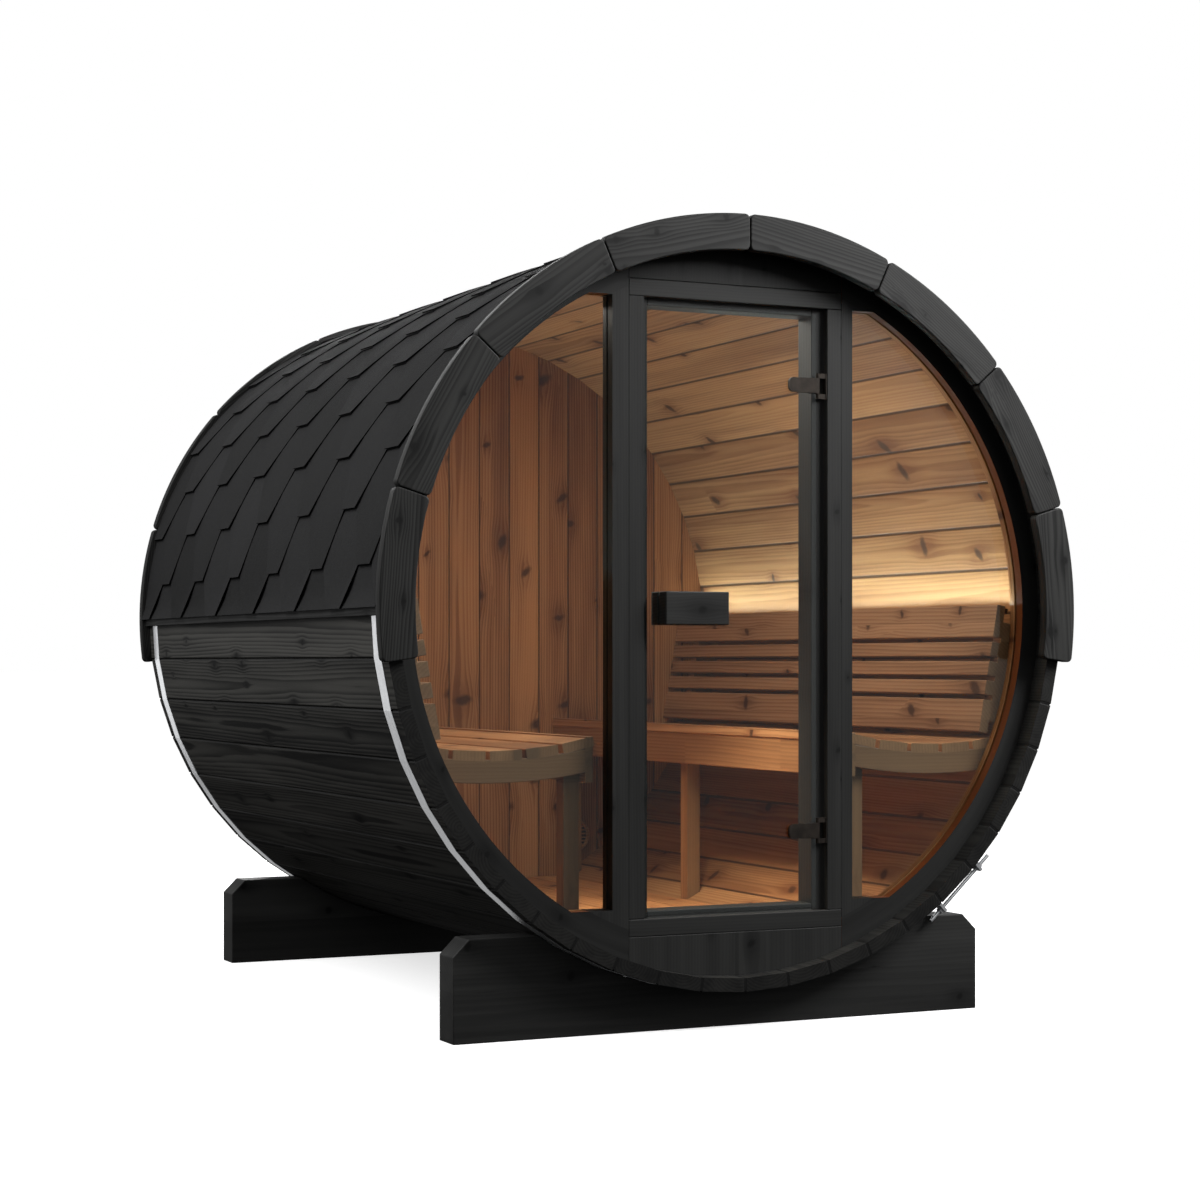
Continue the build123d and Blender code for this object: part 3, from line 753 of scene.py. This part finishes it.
frontLook = {
    **stain,
    "dark": srgb(24, 24, 24),
    "light": srgb(53, 53, 52),
    "fibre": 0.55,
    "ring": 0.08,
    "cloud": 0.5,
    "relief": 0.0005,
    "knotRadius": 0.009,
    "knotShare": 0.6,
    "knotCells": 1.3,
}
frames = {
    "front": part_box("front_header")[0].y,
    "paneBack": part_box("right_window_glass")[1].y,
    "rim": 0.885,
    # near-black painted shade for the straight edges round the panes
    "shadedReveal": srgb(10, 9, 8),
    "curvedReveal": srgb(112, 58, 24),
}
boardings = {  # step from board to board and where the first starts
    "upright": (0.31, 0.011),
    "level": (0.42, 0.13),
    "length": (0.4, 0.2),
    "back": (0.0545, 0.8),
    "floor": (0.116, -0.058),
    "bearer": (0.3, 0.0),
}
easing = {"beam": 0.0025, "front": 0.0018, "board": 0.002, "handle": 0.005}
front = frames["front"]
uprightStain = boardMaterial("uprightStain", frontLook, "z", "x", "y", *boardings["upright"], front)
levelStain = boardMaterial("levelStain", frontLook, "x", "z", "y", *boardings["level"], front)
lengthStain = boardMaterial("lengthStain", stain, "y", "z", "x", *boardings["length"])


def frameMaterial():
    # grain follows the curved rim and stands upright in the stiles; behind the panes the wood is bare
    material, shader, place = newMaterial("windowFraming")
    x, y, z = place.parts()
    up = z - barrel["axisHeight"]
    reach = (x * x + up * up).maths("SQRT")
    depth = y - frames["front"]
    bowed = place.vector(up.maths("ARCTAN2", x) * barrel["radius"], reach - frames["rim"], depth)
    curved = reach > frames["rim"]
    at = curved.choose(place.vector(z, x, depth), bowed)
    seed = randomShare(curved * 0.37 + (x > 0.0) * 0.21 + 0.11)
    bare = (y > frames["paneBack"]) * curved
    colour, height, rough = timber(at, seed, mixedLook(bare, frontLook, heated))
    facing = place.node("ShaderNodeNewGeometry", None, None, 3).parts()
    shadedReveal = facing[1].maths("ABSOLUTE").ease(0.7, 0.3) * (1 - bare)  # the edges round the pane: near-black painted shade on the straight frame, orange-brown on the curved rim
    edge = curved.between(frames["shadedReveal"], frames["curvedReveal"])
    finishTimber(shader, frontLook, shadedReveal.between(colour, edge), height, rough)
    return material


cradleLook = {**frontLook, "dark": srgb(27, 27, 27), "light": srgb(61, 61, 60)}
cradleStain = boardMaterial("cradleStain", cradleLook, "x", "z", "y", *boardings["level"], front)
for node in ("front_cradle", "rear_cradle"):
    easedCopy(node, cradleStain, easing["beam"])
for node in ("door_head", "door_threshold"):
    easedCopy(node, levelStain, easing["beam"])
# painted shade: a darker copy of the front stain for the header, which lies in the arch's shadow
archShadowLook = {**frontLook, "dark": srgb(15, 15, 15), "light": srgb(35, 35, 34)}
archShadowStain = boardMaterial("archShadowStain", archShadowLook, "z", "x", "y", *boardings["upright"], front)
easedCopy("front_header", archShadowStain, easing["front"])
for node in ("door_left_jamb", "door_right_jamb", "front_lower_panel"):
    easedCopy(node, uprightStain, easing["front"])
for node in ("left_eave_trim", "right_eave_trim"):
    easedCopy(node, lengthStain, easing["board"])
windowFraming = frameMaterial()
for node in ("left_window_frame", "right_window_frame"):
    nodes[node].data.materials[0] = windowFraming
for node in ("door_handle_outer", "door_handle_inner"):
    easedCopy(node, cradleStain, easing["handle"], "door")

frameLow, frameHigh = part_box("right_bench_frame")
seatLow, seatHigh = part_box("right_bench_seat")
benches = {
    "rail": 0.12,  # depth of the rails and the fascia
    "fascia": 0.0225,  # thickness of the fascia
    "slats": 5,
    "gap": 0.011,
    "thick": 0.026,
    "dishMiddle": 0.6647,
    "dishLow": 0.735,  # height of the seat at the bottom of its dish
    "dishRadius": 1.16,
    "cover": 0.0004,
    "ease": 0.002,
}
slatPitch = (seatHigh.x - frameLow.x + benches["gap"]) / benches["slats"]
seatStart = frameLow.x - benches["gap"] / 2
benchLook = {**heated, "dark": srgb(134, 84, 48), "light": srgb(212, 158, 108), "ring": 0.2}
# the seat and back slats take painted shade on their faces that look to the front
seatWood = boardMaterial("seatSlats", benchLook, "y", "x", "z", slatPitch, seatStart, frameHigh.z, True)
backLook = {**benchLook, "dark": srgb(130, 90, 60), "light": srgb(204, 160, 120)}
backWood = boardMaterial("backSlats", backLook, "y", "z", "x", *boardings["back"], frontShade=True)
# painted light: a lighter copy of the heated look for the floor boards, for the light that falls on the
# floor
litFloorLook = {**heated, "dark": srgb(146, 90, 50), "light": srgb(218, 158, 102)}
floorWood = boardMaterial("floorPlanks", litFloorLook, "y", "x", "z", *boardings["floor"])
framingLook = {**heated, "dark": srgb(108, 66, 37), "light": srgb(180, 132, 88)}


def benchFrameMaterial():
    # the fascia runs along the room, the rails across it, and the posts stand upright
    material, shader, place = newMaterial("benchFraming")
    x, y, z = place.parts()
    upright = z < frameHigh.z - benches["rail"]
    rail = (x.maths("ABSOLUTE") > frameLow.x + benches["fascia"]) * (1 - upright)
    at = upright.choose(place.vector(y, z, x), place.vector(z, y, x))
    at = rail.choose(at, place.vector(x, z, y - frameLow.y))
    seed = randomShare((y * 1.7).maths("FLOOR") * 0.31 + upright * 5.0 + rail * 3.0 + 0.2)
    colour, height, rough = timber(at, seed, framingLook)
    # painted shade on the faces that look to the front
    finishTimber(shader, framingLook, withFrontShade(place, colour), height, rough)
    return material


def easedBar(wide, tall, ease):
    # a rectangle with its corners cut, as distances across and up
    across = np.array([ease, -ease, 0, 0, -ease, ease, 0, 0]) + np.array(wide)[[0, 1, 1, 1, 1, 0, 0, 0]]
    up = np.array([0, 0, ease, -ease, 0, 0, -ease, ease]) + np.array(tall)[[0, 0, 0, 1, 1, 1, 1, 0]]
    return across, up


def seatSlat(side, number):
    # a bar turned to the round of the dish and drawn out along the room; the first covers the fascia
    look = benches
    half = (slatPitch - look["gap"]) / 2
    across, up = easedBar((-half, half), (-look["thick"], 0.0), look["ease"])
    middle = frameLow.x + half + number * slatPitch - look["dishMiddle"]
    tilt = math.asin(middle / look["dishRadius"])
    reach = math.sqrt(look["dishRadius"] ** 2 - half**2) - up
    x = look["dishMiddle"] + reach * math.sin(tilt) + across * math.cos(tilt)
    z = look["dishLow"] + look["dishRadius"] - reach * math.cos(tilt) + across * math.sin(tilt)
    y = np.array([seatLow.y - look["cover"], seatHigh.y + look["cover"]])[:, None]
    return plate(np.stack([side * x + 0 * y, y + 0 * x, z + 0 * y], -1))


benchFraming = benchFrameMaterial()
for side, sign in (("left", -1), ("right", 1)):
    slats = [seatSlat(sign, number) for number in range(benches["slats"])]
    addPiece(f"{side}_bench_slats", slats, seatWood, (f"{side}_bench_seat",), crease=30)
    easedCopy(f"{side}_backrest", backWood, easing["board"])
    easedCopy(f"{side}_bench_frame", benchFraming, easing["board"])
easedCopy("floor_boards", floorWood, easing["board"])

lowerBoard = {
    "lean": math.radians(10),
    "height": 0.091,
    "thick": 0.028,
    "restHeight": 0.327,  # along the lean, from the foot of the slats to their top
    "slat": 0.058,  # the narrow board that it covers
    "cover": 0.0004,
    "ease": 0.002,
}


def backrestBoard(side):
    # the wide lowest board: a rectangle with cut corners, leaning like the slats, along the room
    look = lowerBoard
    low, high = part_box("right_backrest")
    cover = look["cover"]
    wide = (-cover, look["thick"] + cover)
    tall = (look["slat"] - look["height"], look["slat"] + cover)
    across, up = easedBar(wide, tall, look["ease"])
    x = low.x + across * math.cos(look["lean"]) + up * math.sin(look["lean"])
    z = high.z - (look["restHeight"] - up) * math.cos(look["lean"]) - across * math.sin(look["lean"])
    y = np.array([low.y - cover, high.y + cover])[:, None]
    return plate(np.stack([side * x + 0 * y, y + 0 * x, z + 0 * y], -1))


for side, sign in (("left", -1), ("right", 1)):
    addPiece(f"{side}_backrest_lower_board", [backrestBoard(sign)], backWood, crease=30)
bearerWood = boardMaterial("bearerWood", heated, "x", "z", "y", *boardings["bearer"])
nodes["floor_bearers"].data.materials[0] = bearerWood
print("joinery dressed")


# Vent: a turned ring with louvres across it

vent = {
    "rim": 0.011,
    "lip": 0.003,
    "slats": 8,
    "rise": 0.007,
    "slatThick": 0.0024,
    "shadeDiscThick": 0.001,  # thickness of the dark disc, painted shade behind the louvres
    "eye": 0.002,  # radius of the circle at its middle
    "around": 48,
    "seed": 0.4,
}


def ventMaterial():
    material, shader, place = newMaterial("ventWood")
    x, y, z = place.parts()
    seed = place.node("ShaderNodeTexWhiteNoise", {"noise_dimensions": "1D"}, {"W": vent["seed"]})
    colour, height, rough = timber(place.vector(x, z, y - ventLow.y), seed, heated)
    # painted shade: the vent darkens towards the wall, and the disc behind the louvres is fully dark
    depthShade = y.ease(ventLow.y + vent["lip"], ventHigh.y - vent["shadeDiscThick"])
    finishTimber(shader, heated, depthShade.between(colour, heated["knot"]), height, rough)
    return material


def ventRing(low, high):
    # a profile of inner wall, face and outer wall turned about the vent's axis
    outer, inner = (high.x - low.x) / 2, (high.x - low.x) / 2 - vent["rim"]
    lip = vent["lip"]
    radius = np.array([inner, inner, inner + lip, outer - lip, outer, outer])[:, None]
    y = np.array([high.y, low.y + lip, low.y, low.y, low.y + lip, high.y])[:, None]
    turn = np.linspace(0, 2 * math.pi, vent["around"], endpoint=False)
    centre = (low + high) / 2
    spot = (centre.x + radius * np.cos(turn), y + 0 * turn, centre.z + radius * np.sin(turn))
    points = np.stack(spot, -1).reshape(-1, 3)
    return points, gridFaces(len(y), len(turn), closedRows=True, closedColumns=True)


def ventSlat(low, high, height):
    # a thin sloping bar as long as the chord of the ring at its height
    inner = (high.x - low.x) / 2 - vent["rim"] / 2
    centre = (low + high) / 2
    x = centre.x + np.sqrt(inner**2 - height**2) * np.array([-1.0, 1.0])[:, None]
    y = np.array([low.y + vent["lip"], high.y])
    z = centre.z + height + vent["rise"] * np.array([-0.5, 0.5])
    top = np.stack([x + 0 * y, y + 0 * x, z + vent["slatThick"] / 2 + 0 * x], -1)
    return slab(top, top - np.array([0, 0, vent["slatThick"]]))


def ventShadeDisc(low, high):
    # a dark disc behind the louvres, painted shade for the vent's hole, as a fan of rings from a small
    # circle to the rim
    turn = np.linspace(0, 2 * math.pi, vent["around"], endpoint=False)
    radius = np.array([vent["eye"], (high.x - low.x) / 2 - vent["rim"] / 2])[:, None]
    centre = (low + high) / 2
    spot = [centre.x + radius * np.cos(turn), 0 * radius + 0 * turn, centre.z + radius * np.sin(turn)]
    faces = []
    for y in (high.y - vent["shadeDiscThick"], high.y):
        spot[1] = y + 0 * radius + 0 * turn
        faces.append(np.stack(spot, -1))
    rings = np.concatenate([faces[0], faces[1][::-1]])
    return rings.reshape(-1, 3), gridFaces(4, len(turn), closedRows=True, closedColumns=True)


ventLow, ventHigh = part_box("rear_vent")
ventInner = (ventHigh.x - ventLow.x) / 2 - vent["rim"]
heights = ventInner * ((np.arange(vent["slats"]) + 0.5) / vent["slats"] * 2 - 1)
louvres = [ventRing(ventLow, ventHigh), ventShadeDisc(ventLow, ventHigh)]
louvres += [ventSlat(ventLow, ventHigh, height) for height in heights]
addPiece("rear_vent_louvres", louvres, ventMaterial(), ("rear_vent",))
print("vent made")


# Metals, glass and light

zincLook = {
    "tones": (srgb(214, 216, 219), srgb(240, 241, 243)),
    "brushing": (14.0, 700.0, 14.0),  # patterns to a metre on each axis
    "metallic": 0.8,
    "roughness": 0.24,
    "bump": (0.25, 0.0004),
}
bronzeLook = {
    "tones": (srgb(40, 36, 33), srgb(60, 54, 49)),
    "metallic": 0.85,
    "roughness": 0.5,
    "bump": (0.05, 0.0002),
}
paneLook = {
    "tones": (srgb(214, 222, 222), srgb(236, 240, 240)),
    "clear": (0.93, 0.945, 0.94, 1.0),
    "index": 1.6,
    "roughness": 0.02,
}
strips = {
    "power": 11.5,
    "tilt": math.radians(-8),
    "colour": (0.74, 1.0, 1.06),
    "width": 0.02,
    "lift": 0.006,  # the lamp hangs this far above the strip
    "cap": 0.03,  # dark end
    "capTone": srgb(30, 24, 20),
    "glow": (srgb(255, 226, 168), srgb(255, 240, 205)),
    "strength": 9.0,
}


def zincMaterial():
    material, shader, place = newMaterial("bandSteel")
    spangle = place.noise(3.0, 0.6, 60.0)
    rates = zip(place.parts(), zincLook["brushing"])
    brushed = place.vector(*[axis * rate for axis, rate in rates]).noise(2.0)
    tone = (spangle * 0.5 + brushed * 0.5).ease(0.2, 0.8)
    colour = tone.between(*zincLook["tones"])
    rough = zincLook["roughness"] + brushed * 0.14
    normal = (brushed + spangle * 0.4).bump(*zincLook["bump"])
    fixed = {"Metallic": zincLook["metallic"]}
    dress(shader, fixed, {"Base Color": colour, "Roughness": rough, "Normal": normal})
    return material


def bronzeMaterial():
    material, shader, place = newMaterial("hingeBronze")
    worn = place.noise(3.0, 0.5, 40.0)
    colour = worn.ease(0.2, 0.85).between(*bronzeLook["tones"])
    rough = bronzeLook["roughness"] + worn * 0.2
    normal = worn.bump(*bronzeLook["bump"])
    fixed = {"Metallic": bronzeLook["metallic"]}
    dress(shader, fixed, {"Base Color": colour, "Roughness": rough, "Normal": normal})
    return material


def glassMaterial():
    material, shader, place = newMaterial("clearPane")
    tree = material.node_tree
    haze = place.noise(2.0, 0.5, 2.2)
    rough = paneLook["roughness"] + haze * 0.03
    colour = haze.between(*paneLook["tones"])
    dress(shader, {"Metallic": 1.0}, {"Base Color": colour, "Roughness": rough})
    clear = place.node("ShaderNodeBsdfTransparent", None, {"Color": paneLook["clear"]})
    inner = place.node("ShaderNodeNewGeometry", None, None, 6)
    mirror = place.node("ShaderNodeFresnel", None, {"IOR": paneLook["index"]})
    gloss = mirror * (1 - inner)  # the outer skin alone mirrors
    shaders = {0: gloss, 1: clear, 2: Socket(shader.outputs[0])}
    both = place.node("ShaderNodeMixShader", None, shaders)
    tree.links.new(both.link, tree.nodes["Material Output"].inputs["Surface"])
    return material


def lampMaterial():
    material, shader, place = newMaterial("warmStrip")
    dots = place.vector(0.0, place.parts()[1] * 60.0, 0.0).noise(1.0)
    glow = dots.between(*strips["glow"])
    low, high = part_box("right_light_strip")
    ending = place.parts()[1].ease(low.y + strips["cap"], low.y + strips["cap"] / 2)
    colour = ending.between(glow, strips["capTone"])
    upward = place.node("ShaderNodeNewGeometry", None, None, 3).parts()[2].ease(0.2, 0.6)
    light = (upward * (1 - ending)).between((0.0, 0.0, 0.0, 1.0), glow)
    fixed = {"Emission Strength": strips["strength"], "Roughness": 0.5}
    dress(shader, fixed, {"Base Color": colour, "Emission Color": light})
    return material


zinc, bronze, pane, lamp = zincMaterial(), bronzeMaterial(), glassMaterial(), lampMaterial()
bands = ("front_band", "rear_band", "front_band_tensioner", "rear_band_tensioner")
panes = ("door_glass", "left_window_glass", "right_window_glass")
for node in bands:
    nodes[node].data.materials[0] = zinc
for node in ("hinge_leaves", "hinge_clamps"):
    nodes[node].data.materials[0] = bronze
for node in panes:
    nodes[node].data.materials[0] = pane
for node in ("left_light_strip", "right_light_strip"):
    nodes[node].data.materials[0] = lamp
print("metal and glass dressed")


# Stage: pale floor, soft light, camera

stage = {
    "floorSize": 400.0,
    "floorTones": (srgb(226, 226, 226), srgb(232, 232, 232)),
    "floorGlow": 0.7,
    "white": (1.0, 1.0, 1.0, 1.0),
    "zenith": 0.5,
    "horizon": 0.25,
    "ground": 0.02,
}
lamps = {  # place, target, size, power, colour and spread in degrees of each soft light
    "frontSoftbox": ((2.9, -3.4, 3.6), (0.5, -1.0, 1.5), (2.4, 1.8), 220.0, (1.0, 1.0, 1.0), 180),
    "sideSoftbox": ((-3.6, 0.2, 3.6), (-0.8, 0.0, 1.3), (3.0, 2.4), 120.0, (1.0, 1.0, 1.0), 180),
    "rearSoftbox": ((1.6, 4.6, 2.6), (0.2, 1.0, 1.1), (3.0, 2.4), 170.0, (1.0, 1.0, 1.0), 180),
    "cornerGlow": ((-0.2, -0.9, 1.5), (0.14, -0.5, 0.23), (0.16, 0.16), 5.0, (1.0, 0.88, 0.7), 62),
    "roomGlow": ((0.0, -0.5, 1.88), (0.0, -0.5, 0.2), (0.9, 0.9), 11.5, (1.0, 0.94, 0.86), 180),
}
arches = ("front_arch_left_boards", "front_arch_right_boards")
cards = {  # place, target, size and power of white cards, and the only pieces each one lights
    "backCard": ((-2.0, 2.95, 0.9), (-1.0, -0.9, 0.9), (1.6, 1.8), 9.0, bands),
    "floorCard": ((-1.45, 1.0, 0.012), (-1.45, 1.0, 1.0), (2.3, 4.0), 12.0, bands),
    "rimCard": ((-0.3, 4.4, 4.0), (-0.7, -1.1, 1.8), (3.0, 2.4), 45.0, arches),
    "paneCard": ((2.0, -4.4, 1.2), (0.5, -1.0, 1.2), (4.0, 3.2), 4.4, panes),
}
camera = {
    "place": (-3.1218, -6.7508, 0.96405),
    "turn": (math.radians(90), 0.0, math.radians(-25.473)),
    "lens": 74.344,
    "sensor": 36.0,
    "shift": 0.0508,
}


def addFloor():
    half = stage["floorSize"] / 2
    corners = np.array([[-half, -half, 0], [half, -half, 0], [half, half, 0], [-half, half, 0]])
    mesh = bpy.data.meshes.new("floor")
    mesh.from_pydata(corners.tolist(), [], [[0, 1, 2, 3]])
    material, shader, place = newMaterial("paleFloor")
    mottle = place.noise(3.0, 0.5, 0.8)
    tone = mottle.between(*stage["floorTones"])
    fixed = {
        "Roughness": 0.8,
        "Emission Color": stage["white"],
        "Emission Strength": stage["floorGlow"],
    }
    dress(shader, fixed, {"Base Color": tone})
    mesh.materials.append(material)
    floor = bpy.data.objects.new("floor", mesh)
    bpy.context.collection.objects.link(floor)
    floor.visible_diffuse = floor.visible_glossy = False  # the sky's lower half stands for its bounce


def aimed(place, target):
    aim = Vector(target) - Vector(place)
    return aim.to_track_quat("-Z", "Y").to_euler()


def addLamp(name, place, turn, size, power, colour, spread=180):
    data = bpy.data.lights.new(name, "AREA")
    data.shape, data.size, data.size_y = "RECTANGLE", size[0], size[1]
    data.energy, data.color, data.spread = power, colour, math.radians(spread)
    made = bpy.data.objects.new(name, data)
    made.location, made.rotation_euler = place, turn
    made.visible_camera = False
    bpy.context.collection.objects.link(made)
    return made


def linkedPieces(name, pieces, state):
    # the pieces that a lamp lights alone, or leaves out
    group = bpy.data.collections.new(f"{name}Pieces")
    for piece in pieces:
        group.objects.link(bpy.data.objects[piece])
    for member in group.collection_objects:
        member.light_linking.link_state = state
    return group


def addSky():
    # white behind the object, and light that fades from the zenith to the ground
    world = bpy.data.worlds.new("softSky")
    bpy.context.scene.world = world
    world.use_nodes = True
    tree = world.node_tree
    plain = tree.nodes["Background"]
    start = Socket(tree.nodes.new("ShaderNodeTexCoord").outputs["Generated"])
    upward = start.parts()[2]
    above = upward.ease(0.0, 1.0, stage["horizon"], stage["zenith"])
    strength = upward.ease(-0.25, 0.0) * (above - stage["ground"]) + stage["ground"]
    light = start.node("ShaderNodeBackground", None, {"Strength": strength})
    seen = start.node("ShaderNodeLightPath")
    plain.inputs["Color"].default_value = stage["white"]
    light.link.node.inputs["Color"].default_value = stage["white"]
    shaders = {0: seen, 1: light, 2: Socket(plain.outputs[0])}
    both = start.node("ShaderNodeMixShader", None, shaders)
    tree.links.new(both.link, tree.nodes["World Output"].inputs["Surface"])


addFloor()
addSky()
for name, (place, target, size, power, colour, spread) in lamps.items():
    addLamp(name, place, aimed(place, target), size, power, colour, spread)
for name, (place, target, size, power, receivers) in cards.items():
    card = addLamp(name, place, aimed(place, target), size, power, stage["white"][:3])
    card.light_linking.receiver_collection = linkedPieces(name, receivers, "INCLUDE")
farWall = linkedPieces("farWall", ("rear_wall_boards",), "EXCLUDE")  # the strips light the side walls
for side in ("left", "right"):
    low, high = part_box(f"{side}_light_strip")
    middle = (low + high) / 2
    turn = (0.0, math.pi - math.copysign(strips["tilt"], middle.x), 0.0)
    size = (strips["width"], high.y - low.y)
    place = (middle.x, middle.y, high.z + strips["lift"])
    glow = addLamp(f"{side}StripGlow", place, turn, size, strips["power"], strips["colour"])
    glow.light_linking.receiver_collection = farWall

eye = bpy.data.cameras.new("photoView")
eye.lens, eye.sensor_width, eye.shift_y = camera["lens"], camera["sensor"], camera["shift"]
viewer = bpy.data.objects.new("photoView", eye)
viewer.location, viewer.rotation_euler = camera["place"], camera["turn"]
bpy.context.collection.objects.link(viewer)
bpy.context.scene.camera = viewer
print("stage set")
